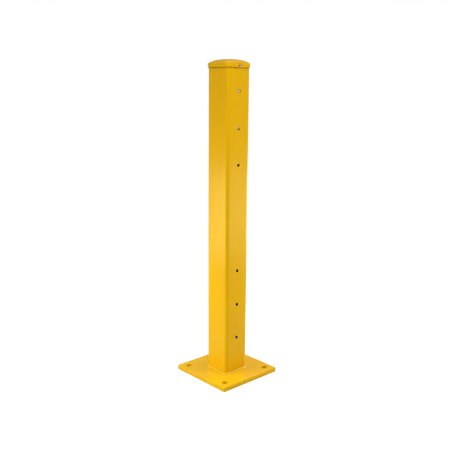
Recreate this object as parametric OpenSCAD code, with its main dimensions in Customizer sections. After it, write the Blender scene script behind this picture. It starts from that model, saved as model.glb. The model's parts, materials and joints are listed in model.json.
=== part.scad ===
// Square guard-rail post: a drilled square tube welded to an anchor plate and closed by a domed cap.
// The origin is the centre of the plate's underside. +Z is up the post.
// The front (-Y) and right (+X) faces of the tube are drilled for rails. The other two are plain.

/* [Base plate] */
// Side of the square base plate
plate_w = 254; // [220:1:400]
// Thickness of the base plate
plate_t = 15.9; // [8:0.1:30]
// Rounding of the plate's four upright corners
plate_corner_r = 3; // [1:0.5:15]
// Distance from a plate edge to the nearest anchor hole centres
anchor_inset = 30.7; // [24:0.1:36]
// Diameter of the anchor holes
anchor_hole_d = 20.6; // [10:0.1:24]

/* [Post tube] */
// Outside width of the square tube
tube_w = 101.6; // [80:0.1:125]
// Wall thickness of the tube
tube_wall = 4.76; // [2.5:0.01:7]
// Outside corner radius of the tube
tube_corner_r = 11.9; // [9:0.1:16]
// Length of the tube, from the plate's top face to the tube's top end
tube_len = 1070; // [850:1:1600]

/* [Rail holes] */
// Diameter of the rail bolt holes
rail_hole_d = 11.1; // [6:0.1:18]
// Spacing of the three holes in each rail group
rail_pitch = 122; // [60:1:140]
// Height of the lower group's middle hole above the plate's top face
rail_low_rise = 249; // [160:1:300]
// Depth of the upper group's middle hole below the tube's top end
rail_high_drop = 209; // [160:1:260]

/* [Foot weld] */
// Leg of the fillet weld round the foot of the tube
weld_leg = 6; // [3:0.5:10]

/* [Cap] */
// Thickness of the cap's skirt and dome
cap_wall = 3; // [1.5:0.1:5]
// Gap between the tube and the cap's skirt on each side
cap_clearance = 0.3; // [0.1:0.05:1.5]
// Depth of the skirt below the tube's top end
cap_skirt = 12; // [12:0.5:40]
// Height of the dome's peak above the tube's top end
cap_rise = 15.3; // [12:0.1:24]
// Radius of the shoulder between the skirt and the dome
cap_shoulder_r = 4; // [2:0.5:7]
// Slope of the dome where it leaves the shoulder, in degrees. It flattens towards the peak
cap_edge_slope = 45; // [32:1:60]
// How much the dome's corners round out for each millimetre in from its edge
cap_corner_growth = 0.5; // [0:0.1:1]

/* [Cap screws] */
// Outside diameter of the screw shank
screw_d = 4.2; // [3:0.1:5]
// Diameter of the domed screw head
screw_head_d = 10; // [7:0.1:11]
// Height of the screw head
screw_head_h = 3; // [2:0.1:4]
// Depth of the screw's axis below the tube's top end
screw_drop = 6; // [5:0.5:8]
// Reach of the screw past the inside of the tube's wall
screw_bite = 7; // [5:0.5:20]
// Radial gap between the screw and its hole in the cap
screw_clearance = 0.3; // [0.1:0.05:0.6]

/* [Hidden] */

$fn = 96;
yellow = [0.93, 0.69, 0.13];
zinc = [0.80, 0.76, 0.66];

// Cutting shapes run this far past the faces they open.
overcut = 1;

anchor_offset = plate_w / 2 - anchor_inset;

tube_half = tube_w / 2;
tube_top = plate_t + tube_len;
tube_bore_w = tube_w - 2 * tube_wall;
tube_bore_r = tube_corner_r - tube_wall;

rail_heights = [
    for (middle = [plate_t + rail_low_rise, tube_top - rail_high_drop])
        for (step = [-1, 0, 1])
            middle + step * rail_pitch
];

cap_socket_w = tube_w + 2 * cap_clearance;
cap_socket_r = tube_corner_r + cap_clearance;
cap_w = cap_socket_w + 2 * cap_wall;
cap_r = cap_socket_r + cap_wall;
cap_bottom = tube_top - cap_skirt;

// The crown's profile: an arc from upright to the edge slope, then a power curve that levels off.
shoulder_turn = 90 - cap_edge_slope;
shoulder_in = cap_shoulder_r * (1 - cos(shoulder_turn));
shoulder_rise = cap_shoulder_r * sin(shoulder_turn);
dome_half = cap_w / 2 - shoulder_in;
dome_rise = cap_rise - shoulder_rise;
dome_power = tan(cap_edge_slope) * dome_half / dome_rise;
shoulder_steps = 4;
dome_steps = 10;
crown_flat = 1;

screw_z = tube_top - screw_drop;
screw_shank = cap_wall + cap_clearance + tube_wall + screw_bite;
screw_tip = screw_d;
// The shank cuts its own seat in the tube, drawn as a hole this much wider all round.
pilot_clearance = 0.05;
head_edge = screw_head_h / 3;
head_dome = screw_head_h - head_edge;
head_dome_r = (pow(screw_head_d / 2, 2) + pow(head_dome, 2)) / (2 * head_dome);
recess_w = screw_head_d * 0.55;
recess_slot = screw_head_d * 0.11;
recess_depth = screw_head_h * 0.55;

module rounded_square(w, r) {
    reach = w / 2 - r;
    square([w, 2 * reach], center = true);
    square([2 * reach, w], center = true);
    for (x = [-reach, reach], y = [-reach, reach])
        translate([x, y]) circle(r);
}

// Holes through one wall: the front wall at turn 0, and the right wall at turn 90.
module wall_holes(heights, d, turn) {
    rotate([0, 0, turn])
        for (z = heights)
            translate([0, -tube_half - overcut, z])
                rotate([-90, 0, 0])
                    cylinder(h = tube_wall + 2 * overcut, d = d);
}

module base_plate() {
    color(yellow)
        difference() {
            linear_extrude(plate_t) rounded_square(plate_w, plate_corner_r);
            for (x = [-anchor_offset, anchor_offset], y = [-anchor_offset, anchor_offset])
                translate([x, y, -overcut])
                    cylinder(h = plate_t + 2 * overcut, d = anchor_hole_d);
        }
}

module post_tube() {
    color(yellow)
        difference() {
            translate([0, 0, plate_t])
                linear_extrude(tube_len)
                    difference() {
                        rounded_square(tube_w, tube_corner_r);
                        rounded_square(tube_bore_w, tube_bore_r);
                    }
            wall_holes(rail_heights, rail_hole_d, 0);
            wall_holes(rail_heights, rail_hole_d, 90);
            for (turn = [0, 180])
                wall_holes([screw_z], screw_d + 2 * pilot_clearance, turn);
        }
}

// One weld run: a straight fillet along the front face, then round the front right corner.
module weld_run() {
    reach = tube_half - tube_corner_r;
    translate([-reach, -tube_half, plate_t])
        rotate([90, 0, 90])
            linear_extrude(2 * reach)
                polygon([[0, 0], [0, weld_leg], [-weld_leg, 0]]);
    translate([reach, -reach, plate_t])
        rotate([0, 0, -90])
            rotate_extrude(angle = 90)
                polygon([
                    [tube_corner_r, 0],
                    [tube_corner_r + weld_leg, 0],
                    [tube_corner_r, weld_leg]
                ]);
}

module weld_front() {
    color(yellow) weld_run();
}

module weld_right() {
    color(yellow) rotate([0, 0, 90]) weld_run();
}

module weld_back() {
    color(yellow) rotate([0, 0, 180]) weld_run();
}

module weld_left() {
    color(yellow) rotate([0, 0, 270]) weld_run();
}

// A thin slice of the crown, drawn in by inset, with its top at height z. Its corners round out
// as it is drawn in, until it is a circle.
module crown_slice(inset, z) {
    slice = 0.01;
    corner_r = min(cap_r + cap_corner_growth * inset, cap_w / 2 - inset);
    translate([0, 0, z - slice])
        linear_extrude(slice)
            rounded_square(cap_w - 2 * inset, corner_r, $fn = 64);
}

// The outside of the cap above the tube's top end, standing on z = 0.
module cap_crown() {
    hull() {
        for (i = [0 : shoulder_steps])
            let (turn = shoulder_turn * i / shoulder_steps)
                crown_slice(cap_shoulder_r * (1 - cos(turn)), cap_shoulder_r * sin(turn));
        for (i = [1 : dome_steps - 1])
            let (t = i / dome_steps)
                crown_slice(shoulder_in + dome_half * t,
                            shoulder_rise + dome_rise * (1 - pow(1 - t, dome_power)));
        crown_slice(cap_w / 2 - crown_flat, cap_rise);
    }
}

module post_cap() {
    color(yellow)
        difference() {
            union() {
                translate([0, 0, cap_bottom])
                    linear_extrude(cap_skirt) rounded_square(cap_w, cap_r);
                translate([0, 0, tube_top]) cap_crown();
            }
            translate([0, 0, cap_bottom - overcut])
                linear_extrude(cap_skirt + overcut) rounded_square(cap_socket_w, cap_socket_r);
            intersection() {
                translate([0, 0, tube_top - cap_wall]) cap_crown();
                translate([0, 0, tube_top - overcut])
                    linear_extrude(cap_rise) rounded_square(tube_bore_w, tube_bore_r);
            }
            cap_screw_holes();
        }
}

module cap_screw_holes() {
    for (turn = [0, 180])
        rotate([0, 0, turn])
            translate([0, -cap_w / 2 - overcut, screw_z])
                rotate([-90, 0, 0])
                    cylinder(h = cap_wall + 2 * overcut, d = screw_d + 2 * screw_clearance);
}

// A pan-head screw with a cross recess. The head's seat is at z = 0 and the shank points down.
module pan_screw() {
    difference() {
        intersection() {
            cylinder(h = screw_head_h, d = screw_head_d);
            translate([0, 0, screw_head_h - head_dome_r]) sphere(head_dome_r);
        }
        for (turn = [0, 90])
            rotate([0, 0, turn])
                translate([0, 0, screw_head_h])
                    cube([recess_w, recess_slot, 2 * recess_depth], center = true);
    }
    translate([0, 0, -screw_shank]) cylinder(h = screw_shank, d = screw_d);
    translate([0, 0, -screw_shank - screw_tip])
        cylinder(h = screw_tip, d1 = screw_d * 0.2, d2 = screw_d);
}

module cap_screws() {
    color(zinc)
        for (turn = [0, 180])
            rotate([0, 0, turn])
                translate([0, -cap_w / 2, screw_z])
                    rotate([90, 0, 0])
                        pan_screw();
}

base_plate();
post_tube();
weld_front();
weld_right();
weld_back();
weld_left();
post_cap();
cap_screws();
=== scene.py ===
"""Dresses the guard-rail post: a drilled square tube on an anchor plate, under a domed cap.

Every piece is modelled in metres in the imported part's own frame, +Z up the post, and rides on its
single body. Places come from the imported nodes' boxes and from the record's mounts.
"""

from __future__ import annotations

import json
import logging
import math
from abc import ABC, abstractmethod
from collections.abc import Iterable, Sequence
from dataclasses import dataclass, field
from enum import Enum
from itertools import pairwise
from typing import Any

import bmesh
import bpy
from bmesh.types import BMEdge, BMesh, BMFace, BMVert
from mathutils import Matrix, Vector

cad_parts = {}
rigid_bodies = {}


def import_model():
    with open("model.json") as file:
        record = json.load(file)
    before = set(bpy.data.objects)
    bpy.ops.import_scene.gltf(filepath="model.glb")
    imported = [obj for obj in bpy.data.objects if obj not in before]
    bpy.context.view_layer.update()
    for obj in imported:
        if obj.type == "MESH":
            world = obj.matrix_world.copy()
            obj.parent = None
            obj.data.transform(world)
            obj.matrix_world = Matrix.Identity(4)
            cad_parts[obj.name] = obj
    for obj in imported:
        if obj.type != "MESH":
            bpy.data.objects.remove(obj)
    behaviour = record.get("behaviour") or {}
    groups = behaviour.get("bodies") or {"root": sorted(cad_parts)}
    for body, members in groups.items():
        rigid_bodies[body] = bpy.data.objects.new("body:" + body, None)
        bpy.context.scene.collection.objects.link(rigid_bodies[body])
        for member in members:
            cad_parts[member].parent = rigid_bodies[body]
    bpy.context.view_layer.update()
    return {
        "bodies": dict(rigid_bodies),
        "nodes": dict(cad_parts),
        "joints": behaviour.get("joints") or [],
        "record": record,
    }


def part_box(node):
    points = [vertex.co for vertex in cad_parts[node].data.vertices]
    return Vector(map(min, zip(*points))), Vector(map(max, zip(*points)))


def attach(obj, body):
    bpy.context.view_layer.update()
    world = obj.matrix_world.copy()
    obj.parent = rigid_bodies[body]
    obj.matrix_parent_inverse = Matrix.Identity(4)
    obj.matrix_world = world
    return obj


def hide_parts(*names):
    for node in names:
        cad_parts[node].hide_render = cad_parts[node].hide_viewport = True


LOG = logging.getLogger("guard_rail_post")
BODY = "root"
MM = 0.001
UP = Vector((0.0, 0.0, 1.0))


class Side(Enum):
    """The four faces of the square tube, by the quarter turns that bring the front face to them."""

    FRONT = 0
    RIGHT = 1
    BACK = 2
    LEFT = 3

    @property
    def turn(self) -> Matrix:
        """The turn about the post's axis that brings the front face here."""
        return Matrix.Rotation(self.value * math.pi / 2, 4, "Z")


class Slot(Enum):
    """The record's material slots."""

    POST = "post_coat"
    WELD = "weld_coat"
    CAP = "cap_coat"
    SCREW = "screw_zinc"


# ---------------------------------------------------------------------------------------------
# Mesh helpers
# ---------------------------------------------------------------------------------------------


def verts_of(geom: Iterable[Any]) -> list[BMVert]:
    """The vertices among an operator's results."""
    return [g for g in geom if isinstance(g, BMVert)]


def edges_of(geom: Iterable[Any]) -> list[BMEdge]:
    """The edges among an operator's results."""
    return [g for g in geom if isinstance(g, BMEdge)]


def edge_chain(bm: BMesh, start: Vector, stops: Sequence[Vector]) -> list[BMEdge]:
    """Draws a chain of edges.

    Args:
        bm: The mesh to draw in.
        start: The chain's first point.
        stops: Its other points, in order.

    Returns:
        The chain's edges.
    """
    tip = bmesh.ops.create_vert(bm, co=start)["vert"][0]
    edges: list[BMEdge] = []
    for stop in stops:
        made = bmesh.ops.extrude_vert_indiv(bm, verts=[tip])
        tip = made["verts"][0]
        bmesh.ops.translate(bm, verts=[tip], vec=stop - tip.co)
        edges += made["edges"]
    return edges


def sweep(bm: BMesh, edges: Sequence[BMEdge], step: Vector) -> list[BMEdge]:
    """Extrudes a chain or loop of edges by a step.

    Args:
        bm: The mesh.
        edges: The edges to extrude.
        step: How far the new edges lie from the old.

    Returns:
        The new edges.
    """
    made = bmesh.ops.extrude_edge_only(bm, edges=list(edges))["geom"]
    fresh = set(verts_of(made))
    bmesh.ops.translate(bm, verts=list(fresh), vec=step)
    return [e for e in edges_of(made) if all(v in fresh for v in e.verts)]


def turn_corner(bm: BMesh, edges: Sequence[BMEdge], centre: Vector, steps: int) -> list[BMEdge]:
    """Spins a chain of edges a quarter turn about an upright axis.

    Args:
        bm: The mesh.
        edges: The chain to spin.
        centre: A point on the axis.
        steps: How many steps the quarter turn takes.

    Returns:
        The chain's last copy.
    """
    verts = {v for e in edges for v in e.verts}
    made = bmesh.ops.spin(
        bm,
        geom=[*verts, *edges],
        cent=centre,
        axis=UP,
        dvec=Vector(),
        angle=math.pi / 2,
        steps=steps,
        use_merge=False,
        use_normal_flip=False,
        use_duplicate=False,
    )
    return edges_of(made["geom_last"])


def drill(bm: BMesh, face: BMFace, radius: float, cuts: int) -> None:
    """Replaces a flat square face with a ring of faces round a hole at its centre.

    Args:
        bm: The mesh.
        face: The face to drill.
        radius: The hole's radius.
        cuts: How many times each side of the face is cut.
    """
    rim = list(face.edges)
    centre = face.calc_center_median()
    bmesh.ops.delete(bm, geom=[face], context="FACES_ONLY")
    split = bmesh.ops.subdivide_edges(bm, edges=rim, cuts=cuts)
    on_rim = verts_of(split["geom_inner"])
    outer = {e for v in on_rim for e in v.link_edges if len(e.link_faces) < 2}
    made = bmesh.ops.extrude_edge_only(bm, edges=list(outer))["geom"]
    for vert in verts_of(made):
        vert.co = centre + (vert.co - centre).normalized() * radius


def sharp_edges(bm: BMesh, degrees: float) -> list[BMEdge]:
    """The edges whose faces meet at more than an angle."""
    limit = math.radians(degrees)
    return [e for e in bm.edges if len(e.link_faces) == 2 and e.calc_face_angle(0.0) > limit]


def round_edges(bm: BMesh, edges: Sequence[BMEdge], radius: float, segments: int) -> None:
    """Bevels edges to a round.

    Args:
        bm: The mesh.
        edges: The edges to bevel.
        radius: The round's radius.
        segments: How many segments the round has.
    """
    bmesh.ops.bevel(
        bm,
        geom=[*edges, *{v for e in edges for v in e.verts}],
        offset=radius,
        offset_type="OFFSET",
        segments=segments,
        profile=0.5,
        affect="EDGES",
        clamp_overlap=True,
        material=-1,
    )


def face_outwards(bm: BMesh) -> None:
    """Makes the normals of a closed shell agree and point outwards."""
    bmesh.ops.recalc_face_normals(bm, faces=bm.faces[:])
    if bm.calc_volume(signed=True) < 0:
        bmesh.ops.reverse_faces(bm, faces=bm.faces[:])


def turn_skin(bm: BMesh, outwards: Vector) -> None:
    """Makes the normals of an open skin agree.

    Args:
        bm: The mesh.
        outwards: The way that the skin's furthest face in that direction has to face.
    """
    bmesh.ops.recalc_face_normals(bm, faces=bm.faces[:])
    furthest = max(bm.faces, key=lambda f: f.calc_center_median().dot(outwards))
    if furthest.normal.dot(outwards) < 0:
        bmesh.ops.reverse_faces(bm, faces=bm.faces[:])


def close_ends(bm: BMesh) -> None:
    """Fills each open loop of edges with one face."""
    open_edges = [e for e in bm.edges if e.is_boundary]
    bmesh.ops.holes_fill(bm, edges=open_edges, sides=0)


def as_piece(bm: BMesh, name: str, smooth_degrees: float) -> bpy.types.Object:
    """Makes an object of a finished bmesh and frees it.

    Args:
        bm: The finished mesh.
        name: The piece's name.
        smooth_degrees: Edges that turn by more than this stay sharp.

    Returns:
        The object, at the origin, with its place in its mesh.
    """
    mesh = bpy.data.meshes.new(name)
    bm.to_mesh(mesh)
    bm.free()
    mesh.shade_smooth()
    mesh.set_sharp_from_angle(angle=math.radians(smooth_degrees))
    piece = bpy.data.objects.new(name, mesh)
    bpy.context.scene.collection.objects.link(piece)
    return piece


def weigh_normals(piece: bpy.types.Object) -> None:
    """Keeps the large flat faces flat-looking beside their rounded edges.

    Args:
        piece: The piece whose normals are weighed.
    """
    modifier = piece.modifiers.new("weighted_normals", "WEIGHTED_NORMAL")
    modifier.mode = "FACE_AREA"
    modifier.weight = 100
    modifier.keep_sharp = True


# ---------------------------------------------------------------------------------------------
# Ring-built shapes: a loop of vertices, carried from level to level
# ---------------------------------------------------------------------------------------------


@dataclass(frozen=True)
class Level:
    """One level of a shape that is a rounded square at every height.

    half is half the width, corner the corner radius, and z the height.
    """

    half: float
    corner: float
    z: float


def place_ring(ring: Sequence[BMVert], units: Sequence[Vector], level: Level) -> None:
    """Moves a loop of vertices to the rounded square of a level.

    Args:
        ring: The loop's vertices.
        units: Each vertex's place on a unit circle, none of them on an axis.
        level: The level to move to.
    """
    reach = level.half - level.corner
    for vert, unit in zip(ring, units, strict=True):
        x = math.copysign(reach, unit.x) + level.corner * unit.x
        y = math.copysign(reach, unit.y) + level.corner * unit.y
        vert.co = Vector((x, y, level.z))


def stack_levels(levels: Sequence[Level], corner_steps: int) -> BMesh:
    """Builds a closed shape from its levels.

    Args:
        levels: The levels, in order along the shape's surface.
        corner_steps: How many edges each rounded corner has.

    Returns:
        The mesh, closed at its first and last levels.
    """
    bm = bmesh.new()
    per_corner = corner_steps + 1
    ring: list[BMVert] = bmesh.ops.create_circle(
        bm, cap_ends=False, segments=4 * per_corner, radius=1.0
    )["verts"]
    order = sorted(ring, key=lambda v: math.atan2(v.co.y, v.co.x) % math.tau)
    units = [corner_unit(i, corner_steps) for i in range(len(order))]
    ring = rotated_to_first(order, units)
    place_ring(ring, units, levels[0])
    for level in levels[1:]:
        ring = carry_ring(bm, ring)
        place_ring(ring, units, level)
    close_ends(bm)
    face_outwards(bm)
    return bm


def corner_unit(index: int, corner_steps: int) -> Vector:
    """The unit direction of a ring's vertex, with each quarter's vertices spread over its corner.

    Args:
        index: The vertex's number round the ring.
        corner_steps: How many edges each corner has.

    Returns:
        A unit vector. The ends of a quarter stay just off the axes.
    """
    quarter, step = divmod(index, corner_steps + 1)
    off_axis = 1e-4
    angle = quarter * math.pi / 2 + off_axis + step * (math.pi / 2 - 2 * off_axis) / corner_steps
    return Vector((math.cos(angle), math.sin(angle), 0.0))


def rotated_to_first(order: list[BMVert], units: Sequence[Vector]) -> list[BMVert]:
    """Turns a ring's order so that its first vertex is the one nearest to the first unit."""
    nearest = min(range(len(order)), key=lambda i: (order[i].co - units[0]).length)
    return order[nearest:] + order[:nearest]


def carry_ring(bm: BMesh, ring: Sequence[BMVert]) -> list[BMVert]:
    """Extrudes a closed loop of vertices in place.

    Args:
        bm: The mesh.
        ring: The loop's vertices, in order.

    Returns:
        The new loop's vertices, in the same order.
    """
    edges = [bm.edges.get((a, b)) for a, b in zip(ring, [*ring[1:], ring[0]], strict=True)]
    made = bmesh.ops.extrude_edge_only(bm, edges=edges)["geom"]
    fresh = set(verts_of(made))
    partner = {}
    for old in ring:
        for edge in old.link_edges:
            other = edge.other_vert(old)
            if other in fresh:
                partner[old] = other
    return [partner[v] for v in ring]


# ---------------------------------------------------------------------------------------------
# Materials
# ---------------------------------------------------------------------------------------------


class Wiring:
    """Adds nodes to a tree and links them, by name."""

    def __init__(self, tree: bpy.types.NodeTree) -> None:
        """Starts on an empty tree."""
        self.tree = tree
        tree.nodes.clear()

    def add(self, kind: str, **settings: Any) -> bpy.types.Node:
        """Adds a node.

        Args:
            kind: The node's type, without the leading ShaderNode.
            **settings: Properties of the node to set.

        Returns:
            The node.
        """
        prefix = "" if kind.startswith("NodeGroup") else "ShaderNode"
        node = self.tree.nodes.new(prefix + kind)
        for key, value in settings.items():
            setattr(node, key, value)
        return node

    def link(self, source: bpy.types.NodeSocket, target: bpy.types.NodeSocket) -> None:
        """Links one socket to another."""
        self.tree.links.new(source, target)

    def noise(
        self, at: bpy.types.NodeSocket, scale: float, detail: float, roughness: float = 0.5
    ) -> bpy.types.NodeSocket:
        """Adds a noise pattern.

        Args:
            at: The coordinates it reads.
            scale: Its scale, in cycles per metre.
            detail: Its octaves.
            roughness: How strong the finer octaves are.

        Returns:
            The noise's value, about 0.5 on average.
        """
        node = self.add("TexNoise", noise_dimensions="3D")
        node.inputs["Scale"].default_value = scale
        node.inputs["Detail"].default_value = detail
        node.inputs["Roughness"].default_value = roughness
        self.link(at, node.inputs["Vector"])
        return node.outputs["Fac"]

    def spread(
        self, value: bpy.types.NodeSocket, low: float, high: float, start: float, end: float
    ) -> bpy.types.NodeSocket:
        """Maps a value from one range to another, clamped.

        Args:
            value: The value to map.
            low: Where the first range starts.
            high: Where the first range ends.
            start: What low is mapped to.
            end: What high is mapped to.

        Returns:
            The mapped value.
        """
        node = self.add("MapRange", clamp=True)
        for key, number in zip(
            ("From Min", "From Max", "To Min", "To Max"), (low, high, start, end), strict=True
        ):
            node.inputs[key].default_value = number
        self.link(value, node.inputs["Value"])
        return node.outputs["Result"]

    def maths(
        self, operation: str, first: bpy.types.NodeSocket, second: bpy.types.NodeSocket | float
    ) -> bpy.types.NodeSocket:
        """Adds a Math node of two inputs.

        Args:
            operation: The node's operation.
            first: The first input.
            second: The second input, a socket or a number.

        Returns:
            The node's result.
        """
        node = self.add("Math", operation=operation)
        self.link(first, node.inputs[0])
        if isinstance(second, (int, float)):
            node.inputs[1].default_value = second
        else:
            self.link(second, node.inputs[1])
        return node.outputs[0]

    def mix_colour(
        self,
        factor: bpy.types.NodeSocket,
        first: bpy.types.NodeSocket | Sequence[float],
        second: bpy.types.NodeSocket | Sequence[float],
    ) -> bpy.types.NodeSocket:
        """Mixes two colours.

        Args:
            factor: How much of the second colour there is.
            first: The first colour, a socket or plain numbers.
            second: The second colour, a socket or plain numbers.

        Returns:
            The mixed colour.
        """
        node = self.add("Mix", data_type="RGBA")
        self.link(factor, node.inputs["Factor"])
        for socket, colour in ((node.inputs[6], first), (node.inputs[7], second)):
            if isinstance(colour, bpy.types.NodeSocket):
                self.link(colour, socket)
            else:
                socket.default_value = (*colour, 1.0)
        return node.outputs[2]


def shader_group(
    name: str, inputs: dict[str, float | tuple[float, float, float]], outputs: dict[str, str]
) -> tuple[bpy.types.ShaderNodeTree, Wiring, bpy.types.Node, bpy.types.Node]:
    """Starts a shader node group.

    Args:
        name: The group's name.
        inputs: Each input's name and default. A triple makes a colour, and a number a value.
        outputs: Each output's name and its socket type.

    Returns:
        The group, its wiring, and its input and output nodes.
    """
    group = bpy.data.node_groups.new(name, "ShaderNodeTree")
    for key, default in inputs.items():
        is_colour = isinstance(default, tuple)
        kind = "NodeSocketColor" if is_colour else "NodeSocketFloat"
        socket = group.interface.new_socket(name=key, in_out="INPUT", socket_type=kind)
        socket.default_value = (*default, 1.0) if is_colour else default
    for key, kind in outputs.items():
        group.interface.new_socket(name=key, in_out="OUTPUT", socket_type=kind)
    wiring = Wiring(group)
    return group, wiring, wiring.add("NodeGroupInput"), wiring.add("NodeGroupOutput")


def powder_skin_group() -> bpy.types.NodeTree:
    """Builds the group for the skin of a powder coat: its orange peel, grain and gloss.

    Returns:
        A group that gives the height of the skin in metres and its roughness.
    """
    group, w, given, out = shader_group(
        "powder_skin",
        {"Peel": 1.0, "Grain": 1.0, "Gloss": 0.35},
        {"Height": "NodeSocketFloat", "Roughness": "NodeSocketFloat"},
    )
    peel_scale, peel_rise = 190.0, 0.09 * MM
    grain_scale, grain_rise = 900.0, 0.012 * MM
    cloud_scale, cloud_depth = 9.0, 0.035
    at = w.add("TexCoord").outputs["Object"]
    peel = w.noise(at, peel_scale, 2.0, 0.4)
    fine = w.noise(at, grain_scale, 1.0, 0.5)
    peel_height = w.maths("MULTIPLY", peel, peel_rise)
    peel_height = w.maths("MULTIPLY", peel_height, given.outputs["Peel"])
    fine_height = w.maths("MULTIPLY", fine, grain_rise)
    fine_height = w.maths("MULTIPLY", fine_height, given.outputs["Grain"])
    w.link(w.maths("ADD", peel_height, fine_height), out.inputs["Height"])
    cloud = w.spread(w.noise(at, cloud_scale, 3.0), 0.3, 0.7, -cloud_depth, cloud_depth)
    w.link(w.maths("ADD", given.outputs["Gloss"], cloud), out.inputs["Roughness"])
    return group


def edge_thinning_group() -> bpy.types.NodeTree:
    """Builds the group that finds edges, where a coat of powder is thinner and rubs first.

    Returns:
        A group that gives a mask, 1 on an edge of the given radius and 0 away from it.
    """
    group, w, given, out = shader_group(
        "edge_thinning",
        {"Radius": 1.5 * MM, "Strength": 1.0},
        {"Mask": "NodeSocketFloat"},
    )
    flat, sharp = 0.995, 0.90
    patch_scale, least = 60.0, 0.35
    bevel = w.add("Bevel", samples=6)
    w.link(given.outputs["Radius"], bevel.inputs["Radius"])
    plain = w.add("NewGeometry")
    dot = w.add("VectorMath", operation="DOT_PRODUCT")
    w.link(bevel.outputs["Normal"], dot.inputs[0])
    w.link(plain.outputs["Normal"], dot.inputs[1])
    bend = w.spread(dot.outputs["Value"], flat, sharp, 0.0, 1.0)
    at = w.add("TexCoord").outputs["Object"]
    patchy = w.spread(w.noise(at, patch_scale, 4.0, 0.6), 0.35, 0.65, least, 1.0)
    mask = w.maths("MULTIPLY", bend, patchy)
    w.link(w.maths("MULTIPLY", mask, given.outputs["Strength"]), out.inputs["Mask"])
    return group


def settled_dust_group() -> bpy.types.NodeTree:
    """Builds the group for the faint dust that lies on faces that look up.

    Returns:
        A group that gives a mask, from 0 to the given amount.
    """
    group, w, given, out = shader_group(
        "settled_dust", {"Amount": 0.1}, {"Mask": "NodeSocketFloat"}
    )
    steep, level = 0.3, 0.95
    patch_scale, least = 26.0, 0.1
    normal = w.add("SeparateXYZ")
    w.link(w.add("NewGeometry").outputs["Normal"], normal.inputs["Vector"])
    upward = w.spread(normal.outputs["Z"], steep, level, 0.0, 1.0)
    at = w.add("TexCoord").outputs["Object"]
    patches = w.spread(w.noise(at, patch_scale, 5.0, 0.62), 0.38, 0.72, least, 1.0)
    mask = w.maths("MULTIPLY", upward, patches)
    w.link(w.maths("MULTIPLY", mask, given.outputs["Amount"]), out.inputs["Mask"])
    return group


def painted_shade_group() -> bpy.types.NodeTree:
    """Builds the group that paints shade into creases and narrow gaps, where parts shade each
    other.

    Returns:
        A group that gives a painted-shade mask, 1 deep in a narrow gap no wider than the given
        reach.
    """
    group, w, given, out = shader_group(
        "crevice",
        {"Reach": 5.0 * MM, "Strength": 1.0},
        {"Mask": "NodeSocketFloat"},
    )
    deep, clear = 0.50, 0.97
    # Painted shade: ambient occlusion finds the creases that shade themselves, and the mask darkens
    # the colour there.
    open_sky = w.add("AmbientOcclusion", samples=8)
    w.link(given.outputs["Reach"], open_sky.inputs["Distance"])
    closed = w.spread(open_sky.outputs["AO"], deep, clear, 1.0, 0.0)
    w.link(w.maths("MULTIPLY", closed, given.outputs["Strength"]), out.inputs["Mask"])
    return group


@dataclass(frozen=True)
class Effects:
    """The shader groups that the finishes share."""

    skin: bpy.types.NodeTree
    edges: bpy.types.NodeTree
    dust: bpy.types.NodeTree
    crease_shading: bpy.types.NodeTree

    @classmethod
    def build(cls) -> Effects:
        """Builds every group once."""
        return cls(
            powder_skin_group(), edge_thinning_group(), settled_dust_group(), painted_shade_group()
        )


def use_group(w: Wiring, group: bpy.types.NodeTree, **values: float) -> bpy.types.Node:
    """Places a shader group in a material and sets its values.

    Args:
        w: The material's wiring.
        group: The group to place.
        **values: The group's inputs, by lower-case name.

    Returns:
        The group's node.
    """
    node = w.add("Group")
    node.node_tree = group
    for key, value in values.items():
        node.inputs[key.capitalize()].default_value = value
    return node


class Finish(ABC):
    """A finish that can make its own material."""

    @abstractmethod
    def material(self, effects: Effects) -> bpy.types.Material:
        """Makes the material."""

    @staticmethod
    def start(name: str) -> tuple[bpy.types.Material, Wiring, bpy.types.Node]:
        """Starts a material with a Principled shader on its output.

        Args:
            name: The material's name.

        Returns:
            The material, its wiring and its shader.
        """
        material = bpy.data.materials.new(name)
        material.use_nodes = True
        wiring = Wiring(material.node_tree)
        shader = wiring.add("BsdfPrincipled")
        output = wiring.add("OutputMaterial")
        wiring.link(shader.outputs["BSDF"], output.inputs["Surface"])
        return material, wiring, shader

    @staticmethod
    def add_skin(w: Wiring, shader: bpy.types.Node, effects: Effects, **values: float) -> None:
        """Gives a shader the skin's roughness and relief.

        Args:
            w: The material's wiring.
            shader: The Principled shader.
            effects: The shader groups.
            **values: The skin's inputs, by lower-case name.
        """
        skin = use_group(w, effects.skin, **values)
        w.link(skin.outputs["Roughness"], shader.inputs["Roughness"])
        bump = w.add("Bump")
        bump.inputs["Distance"].default_value = 1.0
        w.link(skin.outputs["Height"], bump.inputs["Height"])
        w.link(bump.outputs["Normal"], shader.inputs["Normal"])


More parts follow.
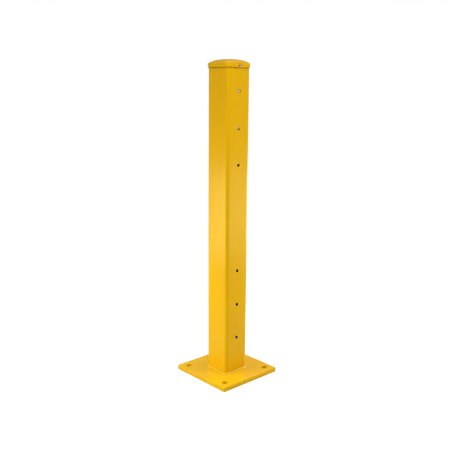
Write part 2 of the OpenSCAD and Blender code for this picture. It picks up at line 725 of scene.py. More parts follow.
@dataclass(frozen=True)
class PowderCoat(Finish):
    """Semi-gloss safety-yellow powder coat over steel.

    colour and deep are the two close yellows that the coat drifts between, thin is the paler
    yellow of a thin edge, dust the colour of settled dust, and the crease colour the dark amber
    of the shade painted into creases and the gap under the cap.
    """

    name: str
    colour: tuple[float, float, float] = (0.80, 0.445, 0.0022)
    deep: tuple[float, float, float] = (0.765, 0.414, 0.0020)
    thin: tuple[float, float, float] = (0.86, 0.49, 0.03)
    dust: tuple[float, float, float] = (0.66, 0.56, 0.40)
    crease_shade: tuple[float, float, float] = (0.13, 0.040, 0.0005)
    gloss: float = 0.30
    peel: float = 1.6
    edge_radius: float = 1.2 * MM
    edge_strength: float = 0.35
    drift_scale: float = 5.0
    speckle_scale: float = 420.0
    dust_amount: float = 0.03
    shade_reach: float = 6.0 * MM
    shade_strength: float = 1.0
    specular: float = 0.42
    sheen: tuple[float, float, float] = (1.0, 0.86, 0.17)

    def material(self, effects: Effects) -> bpy.types.Material:
        """Makes the material.

        Args:
            effects: The shader groups that it places.

        Returns:
            The material.
        """
        material, w, shader = self.start(self.name)
        at = w.add("TexCoord").outputs["Object"]
        drift = w.spread(w.noise(at, self.drift_scale, 4.0, 0.6), 0.32, 0.68, 0.0, 1.0)
        speckle = w.spread(w.noise(at, self.speckle_scale, 2.0, 0.6), 0.35, 0.65, 0.0, 0.22)
        colour = w.mix_colour(drift, self.colour, self.deep)
        colour = w.mix_colour(speckle, colour, self.deep)
        edges = use_group(w, effects.edges, radius=self.edge_radius, strength=self.edge_strength)
        colour = w.mix_colour(edges.outputs["Mask"], colour, self.thin)
        dust = use_group(w, effects.dust, amount=self.dust_amount)
        colour = w.mix_colour(dust.outputs["Mask"], colour, self.dust)
        # Painted shade: the crease mask darkens the colour towards the crease colour where parts
        # shade each other, as under the cap's skirt and at the foot.
        crease_shading = use_group(
            w, effects.crease_shading, reach=self.shade_reach, strength=self.shade_strength
        )
        colour = w.mix_colour(crease_shading.outputs["Mask"], colour, self.crease_shade)
        w.link(colour, shader.inputs["Base Color"])
        self.add_skin(w, shader, effects, peel=self.peel, gloss=self.gloss)
        shader.inputs["IOR"].default_value = 1.5
        shader.inputs["Specular IOR Level"].default_value = self.specular
        shader.inputs["Specular Tint"].default_value = (*self.sheen, 1.0)
        return material


@dataclass(frozen=True)
class MillScale(Finish):
    """The uncoated steel of the tube's bore and rail holes: dark mill scale with rusty patches."""

    name: str = "mill_scale"
    patch_scale: float = 45.0
    gloss: float = 0.6
    peel: float = 2.0
    specular: float = 0.25
    scale: tuple[float, float, float] = (0.016, 0.008, 0.006)
    rust: tuple[float, float, float] = (0.045, 0.014, 0.005)

    def material(self, effects: Effects) -> bpy.types.Material:
        """Makes the material.

        Args:
            effects: The shader groups, of which it uses only the skin.

        Returns:
            The material.
        """
        material, w, shader = self.start(self.name)
        at = w.add("TexCoord").outputs["Object"]
        patches = w.spread(w.noise(at, self.patch_scale, 6.0, 0.65), 0.45, 0.62, 0.0, 1.0)
        w.link(w.mix_colour(patches, self.scale, self.rust), shader.inputs["Base Color"])
        self.add_skin(w, shader, effects, peel=self.peel, gloss=self.gloss)
        shader.inputs["Specular IOR Level"].default_value = self.specular
        return material


@dataclass(frozen=True)
class ZincPlate(Finish):
    """Zinc plating with the dull gold of its passivation, clouded in small patches."""

    name: str = "zinc_plate"
    bloom_scale: float = 700.0
    gloss: float = 0.27
    peel: float = 0.15
    grain: float = 0.6
    bright: tuple[float, float, float] = (0.62, 0.45, 0.30)
    dull: tuple[float, float, float] = (0.40, 0.26, 0.15)

    def material(self, effects: Effects) -> bpy.types.Material:
        """Makes the material.

        Args:
            effects: The shader groups, of which it uses the skin.

        Returns:
            The material.
        """
        material, w, shader = self.start(self.name)
        at = w.add("TexCoord").outputs["Object"]
        bloom = w.spread(w.noise(at, self.bloom_scale, 4.0, 0.6), 0.4, 0.65, 0.0, 1.0)
        w.link(w.mix_colour(bloom, self.bright, self.dull), shader.inputs["Base Color"])
        self.add_skin(w, shader, effects, peel=self.peel, grain=self.grain, gloss=self.gloss)
        shader.inputs["Metallic"].default_value = 1.0
        return material


# ---------------------------------------------------------------------------------------------
# Sub-assemblies
# ---------------------------------------------------------------------------------------------


class SubAssembly(ABC):
    """A part of the post that builds its pieces and dresses them."""

    @abstractmethod
    def build(self) -> list[bpy.types.Object]:
        """Builds the sub-assembly's pieces."""

    @staticmethod
    def dress(
        piece: bpy.types.Object, slot: Slot, nodes: Sequence[str], *materials: bpy.types.Material
    ) -> bpy.types.Object:
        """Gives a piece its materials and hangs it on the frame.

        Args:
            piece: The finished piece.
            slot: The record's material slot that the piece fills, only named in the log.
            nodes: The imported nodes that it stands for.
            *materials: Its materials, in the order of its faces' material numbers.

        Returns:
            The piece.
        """
        for material in materials:
            piece.data.materials.append(material)
        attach(piece, BODY)
        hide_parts(*nodes)
        LOG.info("%s: %d faces, slot %s", piece.name, len(piece.data.polygons), slot.value)
        return piece


@dataclass
class BasePlate(SubAssembly):
    """The square anchor plate with its four drilled holes."""

    low: Vector
    high: Vector
    hole_offset: float
    hole_radius: float
    coat: bpy.types.Material
    corner_radius: float = 3.0 * MM
    edge_round: float = 0.9 * MM
    hole_cuts: int = 11

    def build(self) -> list[bpy.types.Object]:
        """Builds the plate.

        Returns:
            The plate, as one piece.
        """
        half, thickness = self.high.x, self.high.z - self.low.z
        cell = 2 * (half - self.hole_offset)
        stops = [cell - half, half - cell, half]
        bm = bmesh.new()
        edges = edge_chain(
            bm,
            Vector((-half, -half, self.high.z)),
            [Vector((x, -half, self.high.z)) for x in stops],
        )
        for a, b in pairwise([-half, *stops]):
            edges = sweep(bm, edges, Vector((0.0, b - a, 0.0)))
        self.drill_corners(bm)
        turn_skin(bm, UP)
        bmesh.ops.solidify(bm, geom=bm.faces[:], thickness=thickness)
        face_outwards(bm)
        uprights = [e for e in bm.edges if self.is_upright_corner(e)]
        round_edges(bm, uprights, self.corner_radius, 6)
        round_edges(bm, sharp_edges(bm, 50.0), self.edge_round, 3)
        face_outwards(bm)
        piece = as_piece(bm, "anchor_plate", 40.0)
        weigh_normals(piece)
        return [self.dress(piece, Slot.POST, ["base_plate"], self.coat)]

    def drill_corners(self, bm: BMesh) -> None:
        """Drills the four corner cells of the plate's top skin.

        Args:
            bm: The mesh that holds the skin.
        """
        for x in (-self.hole_offset, self.hole_offset):
            for y in (-self.hole_offset, self.hole_offset):
                centre = Vector((x, y, self.high.z))
                face = min(bm.faces, key=lambda f: (f.calc_center_median() - centre).length)
                drill(bm, face, self.hole_radius, self.hole_cuts)

    def is_upright_corner(self, edge: BMEdge) -> bool:
        """Whether an edge stands upright at one of the plate's corners.

        Args:
            edge: The edge to judge.

        Returns:
            True for the plate's upright corner edges.
        """
        a, b = (v.co for v in edge.verts)
        middle = (a + b) / 2
        upright = abs(a.z - b.z) > 0.5 * (self.high.z - self.low.z)
        corner = min(abs(middle.x), abs(middle.y)) > self.high.x - self.corner_radius
        return upright and corner


@dataclass(frozen=True)
class RailHole:
    """One rail bolt hole: the face it is drilled in, its height and its radius."""

    side: Side
    z: float
    radius: float


@dataclass
class PostTube(SubAssembly):
    """The square tube, drilled for rails on two adjoining faces.

    hole_reach is how far out, in hole radii, a face may lie and still be a hole's own wall, and
    bore_reach how deep in the wall, as a share of it, a face has to lie to be the bore's.
    """

    low: Vector
    high: Vector
    holes: list[RailHole]
    coat: bpy.types.Material
    bare: bpy.types.Material
    wall: float = 4.76 * MM
    corner_radius: float = 11.9 * MM
    corner_steps: int = 14
    patch: float = 26.0 * MM
    edge_round: float = 0.6 * MM
    hole_cuts: int = 9
    hole_reach: float = 1.02
    bore_reach: float = 0.9

    @property
    def flat(self) -> float:
        """Half the width of a face's flat, between the rounded corners."""
        return self.high.x - self.corner_radius

    def build(self) -> list[bpy.types.Object]:
        """Builds the tube.

        Returns:
            The tube, as one piece.
        """
        bm = self.skin()
        for hole in self.holes:
            self.drill_rail_hole(bm, hole)
        turn_skin(bm, Vector((0.0, -1.0, 0.0)))
        bmesh.ops.solidify(bm, geom=bm.faces[:], thickness=self.wall)
        face_outwards(bm)
        self.mark_inside(bm)
        round_edges(bm, sharp_edges(bm, 50.0), self.edge_round, 2)
        piece = as_piece(bm, "square_tube", 40.0)
        weigh_normals(piece)
        return [self.dress(piece, Slot.POST, ["post_tube"], self.coat, self.bare)]

    def skin(self) -> BMesh:
        """Sweeps an upright chain of edges round the tube's four faces and corners.

        Returns:
            The tube's outer skin, with a square patch at each hole.
        """
        half, flat, patch = self.high.x, self.flat, self.patch / 2
        heights = sorted({hole.z for hole in self.holes})
        levels = [self.low.z]
        for z in heights:
            levels += [z - patch, z + patch]
        levels.append(self.high.z)
        bm = bmesh.new()
        chain = edge_chain(
            bm,
            Vector((-flat, -half, levels[0])),
            [Vector((-flat, -half, z)) for z in levels[1:]],
        )
        for side in Side:
            for width in (flat - patch, 2 * patch, flat - patch):
                chain = sweep(bm, chain, side.turn @ Vector((width, 0.0, 0.0)))
            centre = side.turn @ Vector((flat, -flat, 0.0))
            chain = turn_corner(bm, chain, centre, self.corner_steps)
        bmesh.ops.remove_doubles(bm, verts=bm.verts[:], dist=0.01 * MM)
        return bm

    def drill_rail_hole(self, bm: BMesh, hole: RailHole) -> None:
        """Drills one rail hole in the skin.

        Args:
            bm: The mesh that holds the skin.
            hole: The hole to drill.
        """
        turn = hole.side.turn
        centre = turn @ Vector((0.0, -self.high.x, hole.z))
        face = min(bm.faces, key=lambda f: (f.calc_center_median() - centre).length)
        drill(bm, face, hole.radius, self.hole_cuts)

    def mark_inside(self, bm: BMesh) -> None:
        """Gives the faces of the bore and of the rail holes the bare steel's material number.

        Args:
            bm: The tube's mesh.
        """
        for face in bm.faces:
            centre = face.calc_center_median()
            towards_axis = face.normal.x * centre.x + face.normal.y * centre.y < 0
            across = max(abs(centre.x), abs(centre.y))
            in_bore = towards_axis and across < self.high.x - self.bore_reach * self.wall
            if (in_bore and abs(face.normal.z) < 0.5) or self.is_in_hole(face, centre):
                face.material_index = 1

    def is_in_hole(self, face: BMFace, centre: Vector) -> bool:
        """Whether a face is part of a rail hole's own wall.

        Args:
            face: The face to judge.
            centre: The face's centre.

        Returns:
            True where it lies on a hole's rim and doesn't look out of or into the tube's face.
        """
        for hole in self.holes:
            local = hole.side.turn.inverted() @ centre
            outwards = hole.side.turn @ Vector((0.0, -1.0, 0.0))
            near = math.hypot(local.x, local.z - hole.z) < self.hole_reach * hole.radius
            if near and local.y < 0 and abs(face.normal.dot(outwards)) < 0.5:
                return True
        return False


@dataclass
class FootWeld(SubAssembly):
    """The fillet weld round the tube's foot, in four runs that each turn one corner.

    slow_waver and quick_waver are the two slow changes of the bead's size along the run, each as
    its share of the leg and its length over one radian.
    """

    tube_half: float
    foot_z: float
    leg: float
    coat: bpy.types.Material
    corner_radius: float = 11.9 * MM
    pitch: float = 3.4 * MM
    steps_per_ripple: int = 4
    ripple: float = 0.022
    bulge: float = 0.04
    profile_steps: int = 7
    sunk: float = 0.15 * MM
    slow_waver: tuple[float, float] = (0.02, 9.0 * MM)
    quick_waver: tuple[float, float] = (0.015, 4.3 * MM)

    def build(self) -> list[bpy.types.Object]:
        """Builds the four runs.

        Returns:
            One piece for each run.
        """
        return [self.run(side) for side in Side]

    def profile(self) -> list[Vector]:
        """The run's section at full size: the root, then the face from the tube to the plate.

        Returns:
            Points with x away from the tube and y up from the plate.
        """
        points = [Vector((-self.sunk, -self.sunk))]
        for i in range(self.profile_steps + 1):
            t = i / self.profile_steps
            swell = 1.0 + self.bulge * math.sin(math.pi * t)
            points.append(Vector((t, 1.0 - t)) * self.leg * swell)
        points[1].x = points[-1].y = -self.sunk
        return points

    def stations(self) -> list[tuple[Matrix, float]]:
        """The places along a run that its section is carried to.

        Returns:
            For each place, the matrix from (out, up, along) to the frame, and the distance.
        """
        flat = self.tube_half - self.corner_radius
        step = self.pitch / self.steps_per_ripple
        straight = round(2 * flat / step)
        places: list[tuple[Matrix, float]] = []
        for i in range(straight + 1):
            along = 2 * flat * i / straight
            origin = Vector((along - flat, -self.tube_half, self.foot_z))
            places.append((self.section_frame(origin, 0.0), along))
        arc = (self.corner_radius + self.leg / 2) * math.pi / 2
        turns = round(arc / step)
        for i in range(1, turns + 1):
            angle = math.pi / 2 * i / turns
            out = Vector((math.sin(angle), -math.cos(angle), 0.0))
            corner = Vector((flat, -flat, self.foot_z))
            origin = corner + out * self.corner_radius
            places.append((self.section_frame(origin, angle), 2 * flat + arc * i / turns))
        return places

    @staticmethod
    def section_frame(origin: Vector, angle: float) -> Matrix:
        """The matrix that stands a section at a place along the run.

        Args:
            origin: The section's root.
            angle: How far the run has turned from the front face's direction.

        Returns:
            A matrix that takes x to the outward direction and y to up.
        """
        out = Vector((math.sin(angle), -math.cos(angle), 0.0))
        along = out.cross(UP)
        axes = Matrix((out, UP, along)).transposed().to_4x4()
        return Matrix.Translation(origin) @ axes

    def size_at(self, distance: float) -> float:
        """How large the section is along the run, with its ripples and slow wavers.

        Args:
            distance: How far along the run.

        Returns:
            The section's size as a share of the leg.
        """
        phase = (distance / self.pitch) % 1.0
        ripple = self.ripple * (1.0 - abs(math.sin(math.pi * phase)))
        wavers = (self.slow_waver, self.quick_waver)
        waver = sum(size * math.sin(distance / length) for size, length in wavers)
        return 1.0 - ripple + waver

    def run(self, side: Side) -> bpy.types.Object:
        """Builds one run.

        Args:
            side: The face whose foot it runs along.

        Returns:
            The run's piece.
        """
        bm = bmesh.new()
        section = self.profile()
        ring: list[BMVert] = bmesh.ops.create_circle(
            bm, cap_ends=False, segments=len(section), radius=self.leg
        )["verts"]
        first = True
        for frame, distance in self.stations():
            if not first:
                ring = carry_ring(bm, ring)
            first = False
            size = self.size_at(distance)
            for vert, point in zip(ring, section, strict=True):
                scaled = Vector((point.x * size, point.y * size, 0.0))
                vert.co = side.turn @ frame @ scaled
        close_ends(bm)
        face_outwards(bm)
        piece = as_piece(bm, f"weld_run_{side.name.lower()}", 60.0)
        return self.dress(piece, Slot.WELD, [f"weld_{side.name.lower()}"], self.coat)


@dataclass
class PostCap(SubAssembly):
    """The domed cap, a hollow lid whose skirt slips over the tube.

    dome_crowding draws the dome's levels closer together towards its peak. Under the dome, the
    hollow's domed part ends ledge_width inside the bore. The level below it is hollow_drop lower,
    with corners ledge_fade rounder than the bore's, and the bore's own start ledge_rise above the
    tube's end.
    """

    low: Vector
    high: Vector
    tube_half: float
    tube_top: float
    coat: bpy.types.Material
    tube_wall: float = 4.76 * MM
    tube_corner: float = 11.9 * MM
    clearance: float = 0.3 * MM
    shoulder_radius: float = 4.0 * MM
    edge_slope: float = math.radians(45.0)
    corner_growth: float = 0.5
    lip_round: float = 0.8 * MM
    lip_steps: int = 3
    ledge_fade: float = 6.0 * MM
    ledge_width: float = 1.0 * MM
    ledge_rise: float = 0.5 * MM
    hollow_drop: float = 0.6 * MM
    corner_steps: int = 12
    shoulder_steps: int = 6
    dome_steps: int = 26
    dome_crowding: float = 1.15

    @property
    def wall(self) -> float:
        """The thickness of the skirt and the dome."""
        return self.high.x - self.tube_half - self.clearance

    def corner_at(self, inset: float) -> float:
        """The corner radius of the crown where it is drawn in by an inset."""
        corner = self.tube_corner + self.clearance + self.wall
        return min(corner + self.corner_growth * inset, self.high.x - inset)

    def crown(self) -> list[Level]:
        """The outside of the crown, from the tube's top end up to the peak."""
        half, rise = self.high.x, self.high.z - self.tube_top
        levels: list[Level] = []
        turn_end = math.pi / 2 - self.edge_slope
        inset = height = 0.0
        for i in range(self.shoulder_steps + 1):
            turn = turn_end * i / self.shoulder_steps
            inset = self.shoulder_radius * (1 - math.cos(turn))
            height = self.shoulder_radius * math.sin(turn)
            levels.append(Level(half - inset, self.corner_at(inset), self.tube_top + height))
        span, climb = half - inset, rise - height
        power = math.tan(self.edge_slope) * span / climb
        for i in range(1, self.dome_steps):
            t = 1.0 - (1.0 - i / self.dome_steps) ** self.dome_crowding
            drawn = inset + span * t
            z = self.tube_top + height + climb * (1 - (1 - t) ** power)
            levels.append(Level(half - drawn, self.corner_at(drawn), z))
        return levels

    def underside(self, crown: Sequence[Level]) -> list[Level]:
        """The cap's inside, from the peak of its hollow down to its lip.

        Args:
            crown: The crown's outside levels.

        Returns:
            The levels of the hollow, the ledge on the tube's end, and the socket.
        """
        bore = self.tube_half - self.tube_wall
        bore_corner = self.tube_corner - self.tube_wall
        hollow = [
            Level(at.half, min(at.corner, at.half), at.z - self.wall)
            for at in reversed(crown)
            if at.half < bore - self.ledge_width
        ]
        socket = self.tube_half + self.clearance
        socket_corner = self.tube_corner + self.clearance
        return [
            *hollow,
            Level(bore, bore_corner + self.ledge_fade, hollow[-1].z - self.hollow_drop),
            Level(bore, bore_corner, self.tube_top + self.ledge_rise),
            Level(bore, bore_corner, self.tube_top),
            Level(socket, socket_corner, self.tube_top),
            Level(socket, socket_corner, self.low.z + self.lip_round),
        ]

    def lip(self) -> list[Level]:
        """The rounded lower edge of the skirt, from its inside to its outside."""
        socket = self.tube_half + self.clearance
        levels: list[Level] = []
        for i in range(1, self.lip_steps + 1):
            turn = math.pi / 2 * i / self.lip_steps
            out = self.lip_round * (1 - math.cos(turn))
            z = self.low.z + self.lip_round * (1 - math.sin(turn))
            half = socket + out
            levels.append(Level(half, self.tube_corner + self.clearance + out, z))
        for i in range(self.lip_steps + 1):
            turn = math.pi / 2 * i / self.lip_steps
            out = self.wall - self.lip_round * (1 - math.sin(turn))
            z = self.low.z + self.lip_round * (1 - math.cos(turn))
            half = socket + out
            levels.append(Level(half, self.tube_corner + self.clearance + out, z))
        return levels

    def build(self) -> list[bpy.types.Object]:
        """Builds the cap.

        Returns:
            The cap, as one piece.
        """
        crown = self.crown()
        bm = stack_levels([*self.underside(crown), *self.lip(), *crown], self.corner_steps)
        piece = as_piece(bm, "domed_cap", 50.0)
        return [self.dress(piece, Slot.CAP, ["post_cap"], self.coat)]


@dataclass
class CapScrews(SubAssembly):
    """The two pan-head screws that hold the cap, one on the front face and one on the back.

    neck is the small flare of the shank under the head, point the tip's radius as a share of the
    shank's, and dome_start how far in from the head's rim its dome begins, in edge_rounds.
    """

    seat: float
    z: float
    zinc: bpy.types.Material
    head_radius: float = 5.0 * MM
    head_height: float = 3.0 * MM
    head_edge: float = 1.0 * MM
    edge_round: float = 0.35 * MM
    shank_radius: float = 2.1 * MM
    shank_length: float = 15.0 * MM
    tip_length: float = 4.2 * MM
    recess_ring: float = 3.1 * MM
    recess_reach: float = 2.55 * MM
    recess_width: float = 1.15 * MM
    recess_depth: float = 1.7 * MM
    recess_taper: float = 0.55
    recess_turn: float = math.radians(25.0)
    neck: float = 0.2 * MM
    point: float = 0.2
    dome_start: float = 0.4
    dome_steps: int = 8
    around: int = 36

    @property
    def dome_radius(self) -> float:
        """The radius of the sphere that the head's dome is part of."""
        rise = self.head_height - self.head_edge
        return (self.head_radius**2 + rise**2) / (2 * rise)

    def dome_z(self, radius: float) -> float:
        """The height of the head's dome at a radius."""
        centre = self.head_height - self.dome_radius
        return centre + math.sqrt(self.dome_radius**2 - radius**2)

    def outline(self) -> list[tuple[float, float]]:
        """The turned outline, as radius and height, from the tip to the recess."""
        points = [
            (self.point * self.shank_radius, -self.shank_length - self.tip_length),
            (self.shank_radius, -self.shank_length),
            (self.shank_radius, -self.neck),
            (self.shank_radius + self.neck, 0.0),
            (self.head_radius - self.edge_round, 0.0),
            (self.head_radius, self.edge_round),
            (self.head_radius, self.head_edge - self.edge_round),
        ]
        start, end = self.head_radius - self.dome_start * self.edge_round, self.recess_ring
        for i in range(1, self.dome_steps + 1):
            radius = start + (end - start) * i / self.dome_steps
            points.append((radius, self.dome_z(radius)))
        return points

    def turned(self, bm: BMesh) -> list[BMEdge]:
        """Turns the screw's outline.

        Args:
            bm: The mesh to turn it in.

        Returns:
            The open ring of edges round the recess.
        """
        ring: list[BMVert] = bmesh.ops.create_circle(
            bm, cap_ends=True, segments=self.around, radius=1.0
        )["verts"]
        units = [v.co.copy() for v in ring]
        for index, (radius, z) in enumerate(self.outline()):
            if index:
                ring = carry_ring(bm, ring)
            for vert, unit in zip(ring, units, strict=True):
                vert.co = unit * radius + UP * z
        loop = zip(ring, [*ring[1:], ring[0]], strict=True)
        return [bm.edges.get(pair) for pair in loop]

    def draw_cross(self, bm: BMesh) -> None:
        """Draws the recess's cross on the head's dome, with as many edges round it as the head.

        Args:
            bm: The mesh to draw in, empty so far.
        """
        half = self.recess_width / 2
        bmesh.ops.create_grid(bm, x_segments=1, y_segments=1, size=half)
        for edge in bm.edges[:]:
            out = (edge.verts[0].co + edge.verts[1].co).normalized()
            sweep(bm, [edge], out * (self.recess_reach - half))
        outline = [e for e in bm.edges if e.is_boundary]
        cuts = self.around // len(outline) - 1
        bmesh.ops.subdivide_edges(bm, edges=outline, cuts=cuts)
        for vert in bm.verts:
            vert.co.z = self.dome_z(vert.co.xy.length)

    def screw(self) -> BMesh:
        """Builds one screw, its seat at z = 0 and its head upwards."""
        bm = bmesh.new()
        self.draw_cross(bm)
        cross = bm.faces[:]
        outline = [e for e in bm.edges if e.is_boundary]
        ring = self.turned(bm)
        bmesh.ops.bridge_loops(bm, edges=[*ring, *outline])
        made = bmesh.ops.extrude_face_region(bm, geom=cross)["geom"]
        for vert in verts_of(made):
            vert.co.xy = vert.co.xy * self.recess_taper
            vert.co.z = self.head_height - self.recess_depth
        old = [f for f in cross if f.is_valid]
        bmesh.ops.delete(bm, geom=old, context="FACES")
        face_outwards(bm)
        return bm

    def build(self) -> list[bpy.types.Object]:
        """Builds both screws.

        Returns:
            One piece that holds the two screws.
        """
        bm = bmesh.new()
        for side in (Side.FRONT, Side.BACK):
            one = self.screw()
            outwards = Matrix.Rotation(math.pi / 2, 4, "X")
            turned = Matrix.Rotation(self.recess_turn, 4, "Z")
            seat = Matrix.Translation(Vector((0.0, -self.seat, self.z)))
            place = side.turn @ seat @ outwards @ turned
            bmesh.ops.transform(one, matrix=place, verts=one.verts[:])
            mesh = bpy.data.meshes.new("one_screw")
            one.to_mesh(mesh)
            one.free()
            bm.from_mesh(mesh)
            bpy.data.meshes.remove(mesh)
        piece = as_piece(bm, "cap_screw_pair", 35.0)
        return [self.dress(piece, Slot.SCREW, ["cap_screws"], self.zinc)]


# ---------------------------------------------------------------------------------------------
# Studio and camera
# ---------------------------------------------------------------------------------------------


@dataclass(frozen=True)
class SoftBox:
    """A soft area light that stands round the post.

    bearing is in degrees round the post from the camera's own bearing, with the camera's right
    positive. aim is the point it faces: how far in front of the post's axis, and how high. spread
    is the angle of its beam in degrees. Without in_gloss the light is left out of reflections.
    """

    name: str
    bearing: float
    distance: float
    height: float
    width: float
    depth: float
    power: float
    aim: tuple[float, float] = (0.0, 0.45)
    spread: float = 180.0
    in_gloss: bool = True

    def build(self, camera_bearing: float) -> None:
        """Adds the light to the scene.

        Args:
            camera_bearing: The camera's bearing, in radians.
        """
        data = bpy.data.lights.new(self.name, "AREA")
        data.shape = "RECTANGLE"
        data.size, data.size_y = self.width, self.depth
        data.energy = self.power
        data.spread = math.radians(self.spread)
        light = bpy.data.objects.new(self.name, data)
        place = bearing_point(
            camera_bearing + math.radians(self.bearing), self.distance, self.height
        )
        target = bearing_point(camera_bearing, *self.aim)
        light.location = place
        light.rotation_mode = "QUATERNION"
        light.rotation_quaternion = (target - place).to_track_quat("-Z", "Y")
        light.visible_camera = False
        light.visible_glossy = self.in_gloss
        bpy.context.scene.collection.objects.link(light)
        LOG.info("light %s: %.2f W", self.name, self.power)


def bearing_point(bearing: float, distance: float, height: float) -> Vector:
    """The point at a bearing from the post, in radians from its front face's normal."""
    return Vector((math.sin(bearing) * distance, -math.cos(bearing) * distance, height))


@dataclass
class Studio:
    """A plain pale floor and room with soft lights."""

    camera_bearing: float
    floor_radius: float = 30.0
    floor_glow: float = 0.86
    floor_paint: float = 0.45
    floor_bounce: float = 0.55
    room_seen: float = 1.0
    room_light: float = 0.325
    lights: list[SoftBox] = field(
        default_factory=lambda: [
            SoftBox("left_key", -75.0, 0.75, 0.45, 0.5, 0.4, 3.8),
            SoftBox("right_rim", 120.0, 0.9, 0.45, 0.5, 0.4, 5.6),
            SoftBox("right_fill", 75.0, 0.75, 0.45, 0.5, 0.4, 1.3),
            SoftBox("overhead", 0.0, 0.0, 2.6, 1.6, 1.6, 7.4, (0.0, 0.0)),
            SoftBox("high_right", 60.0, 1.2, 2.2, 1.0, 0.8, 8.3, (0.0, 0.6)),
            SoftBox("cap_accent", 0.0, 1.2, 1.34, 0.3, 0.3, 5.4, (0.0, 1.05), in_gloss=False),
            SoftBox("corner_glint", 0.0, 1.3, 1.30, 0.6, 0.6, 2.4, (0.0, 1.05)),
            SoftBox("plate_accent", -60.0, 0.75, 0.55, 0.4, 0.3, 0.3, (0.1, 0.0), 70.0),
        ]
    )

    def build(self) -> None:
        """Builds the floor, the room and the lights."""
        self.build_floor()
        self.build_room()
        for light in self.lights:
            light.build(self.camera_bearing)
        view = bpy.context.scene.view_settings
        view.view_transform = "Standard"
        view.look = "None"

    def build_floor(self) -> None:
        """Builds the floor, a wide disc just under the plate."""
        bm = bmesh.new()
        bmesh.ops.create_circle(bm, cap_ends=True, segments=96, radius=self.floor_radius)
        if bm.faces[:][0].normal.z < 0:
            bmesh.ops.reverse_faces(bm, faces=bm.faces[:])
        bmesh.ops.translate(bm, verts=bm.verts[:], vec=(0.0, 0.0, -0.1 * MM))
        floor = as_piece(bm, "studio_floor", 30.0)
        floor.data.materials.append(self.floor_material())

    def floor_material(self) -> bpy.types.Material:
        """Makes the floor's paint: white to look at, and a little darker as a bounce.

        Returns:
            The material.
        """
        material = bpy.data.materials.new("studio_floor_paint")
        material.use_nodes = True
        w = Wiring(material.node_tree)
        paint, bounce, glow = w.add("BsdfDiffuse"), w.add("BsdfDiffuse"), w.add("Emission")
        paint.inputs["Color"].default_value = (*[self.floor_paint] * 3, 1.0)
        bounce.inputs["Color"].default_value = (*[self.floor_bounce] * 3, 1.0)
        glow.inputs["Strength"].default_value = self.floor_glow
        seen, mix, output = w.add("AddShader"), w.add("MixShader"), w.add("OutputMaterial")
        w.link(paint.outputs[0], seen.inputs[0])
        w.link(glow.outputs[0], seen.inputs[1])
        w.link(w.add("LightPath").outputs["Is Camera Ray"], mix.inputs[0])
        w.link(bounce.outputs[0], mix.inputs[1])
        w.link(seen.outputs[0], mix.inputs[2])
        w.link(mix.outputs[0], output.inputs["Surface"])
        return material

    def build_room(self) -> None:
        """Builds the world: white to look at, and a soft even light."""
        world = bpy.data.worlds.new("studio_room")
        world.use_nodes = True
        w = Wiring(world.node_tree)
        background, output = w.add("Background"), w.add("OutputWorld")
        strength = w.spread(
            w.add("LightPath").outputs["Is Camera Ray"], 0.0, 1.0, self.room_light, self.room_seen
        )
        w.link(strength, background.inputs["Strength"])
        background.inputs["Color"].default_value = (1.0, 1.0, 1.0, 1.0)
        w.link(background.outputs["Background"], output.inputs["Surface"])
        bpy.context.scene.world = world


@dataclass(frozen=True)
class ViewCamera:
    """The camera: its bearing, climb and distance from a point near the post's middle."""

    azimuth: float = math.radians(-42.38)
    elevation: float = math.radians(11.64)
    roll: float = math.radians(0.40)
    distance: float = 2.2157
    aim_height: float = 0.5415
    aim_right: float = -9.5 * MM
    focal_length: float = 50.87

    def build(self) -> None:
        """Adds the camera and makes it the scene's own."""
        az, el = self.azimuth, self.elevation
        back = Vector((math.sin(az) * math.cos(el), -math.cos(az) * math.cos(el), math.sin(el)))
        right = Vector((math.cos(az), math.sin(az), 0.0))
        up = back.cross(right)
        aim = Vector((0.0, 0.0, self.aim_height)) + right * self.aim_right
        turn = Matrix((right, up, back)).transposed().to_4x4()
        turn = turn @ Matrix.Rotation(self.roll, 4, "Z")
        data = bpy.data.cameras.new("view_camera")
        data.lens = self.focal_length
        data.sensor_width = 36.0
        camera = bpy.data.objects.new("view_camera", data)
        camera.matrix_world = Matrix.Translation(aim + back * self.distance) @ turn
        bpy.context.scene.collection.objects.link(camera)
        bpy.context.scene.camera = camera


# ---------------------------------------------------------------------------------------------
# Assembly
# ---------------------------------------------------------------------------------------------


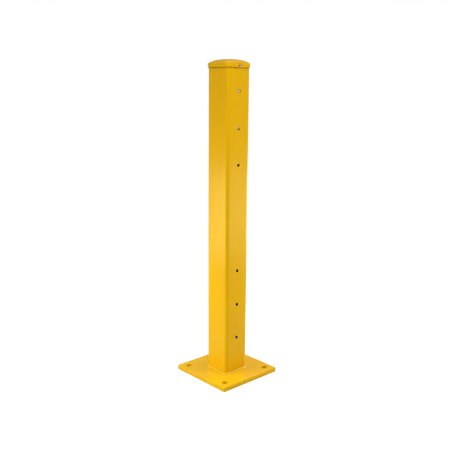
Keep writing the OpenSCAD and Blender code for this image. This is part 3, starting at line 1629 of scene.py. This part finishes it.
def rail_holes(record: dict[str, Any]) -> list[RailHole]:
    """Reads the rail bolt holes from the record's mounts.

    Args:
        record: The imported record.

    Returns:
        Every hole of every rail bolt pattern.
    """
    holes: list[RailHole] = []
    for mount in record["mounts"]:
        if mount["kind"] != "bolt_pattern" or "rail" not in mount["name"]:
            continue
        side = Side.FRONT if mount["axis"][1] < 0 else Side.RIGHT
        reach = mount["dims"]["spacing_y_mm"] * MM / 2
        radius = mount["dims"]["hole_r_mm"] * MM
        for z in (mount["pos_m"][2] - reach, mount["pos_m"][2] + reach):
            holes.append(RailHole(side, z, radius))
    return holes


def anchor_mount(record: dict[str, Any]) -> dict[str, float]:
    """The dimensions of the record's anchor bolt pattern."""
    return next(m["dims"] for m in record["mounts"] if m["name"] == "anchor_bolts")


def main() -> None:
    """Builds the post, the studio and the camera."""
    logging.basicConfig(level=logging.INFO, format="%(name)s: %(message)s")
    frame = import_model()
    record = frame["record"]
    effects = Effects.build()
    # Painted light: the plate gets a lighter copy of the same yellow coat, brightened for the light
    # that falls on its top.
    plate_coat_lightened = PowderCoat(
        "yellow_powder_coat_plate", colour=(0.82, 0.505, 0.0026), shade_strength=0.25
    ).material(effects)
    coat = PowderCoat("yellow_powder_coat").material(effects)
    weld_coat = PowderCoat(
        "yellow_powder_coat_weld",
        colour=(0.79, 0.465, 0.0022),
        deep=(0.74, 0.420, 0.0020),
        gloss=0.36,
        peel=2.2,
        shade_strength=0.6,
    ).material(effects)
    cap_coat = PowderCoat("yellow_powder_coat_cap", gloss=0.26).material(effects)
    bare = MillScale().material(effects)
    zinc = ZincPlate().material(effects)

    anchors = anchor_mount(record)
    plate_low, plate_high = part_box("base_plate")
    tube_low, tube_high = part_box("post_tube")
    cap_low, cap_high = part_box("post_cap")
    weld_low, weld_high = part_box("weld_front")
    screw_low, screw_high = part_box("cap_screws")

    assemblies: list[SubAssembly] = [
        BasePlate(
            plate_low,
            plate_high,
            anchors["spacing_x_mm"] * MM / 2,
            anchors["hole_r_mm"] * MM,
            plate_coat_lightened,
        ),
        PostTube(tube_low, tube_high, rail_holes(record), coat, bare),
        FootWeld(tube_high.x, weld_low.z, weld_high.z - weld_low.z, weld_coat),
        PostCap(cap_low, cap_high, tube_high.x, tube_high.z, cap_coat),
        CapScrews(cap_high.y, (screw_low.z + screw_high.z) / 2, zinc),
    ]
    for assembly in assemblies:
        assembly.build()
    camera = ViewCamera()
    Studio(camera.azimuth).build()
    camera.build()


if __name__ == "__main__":
    main()
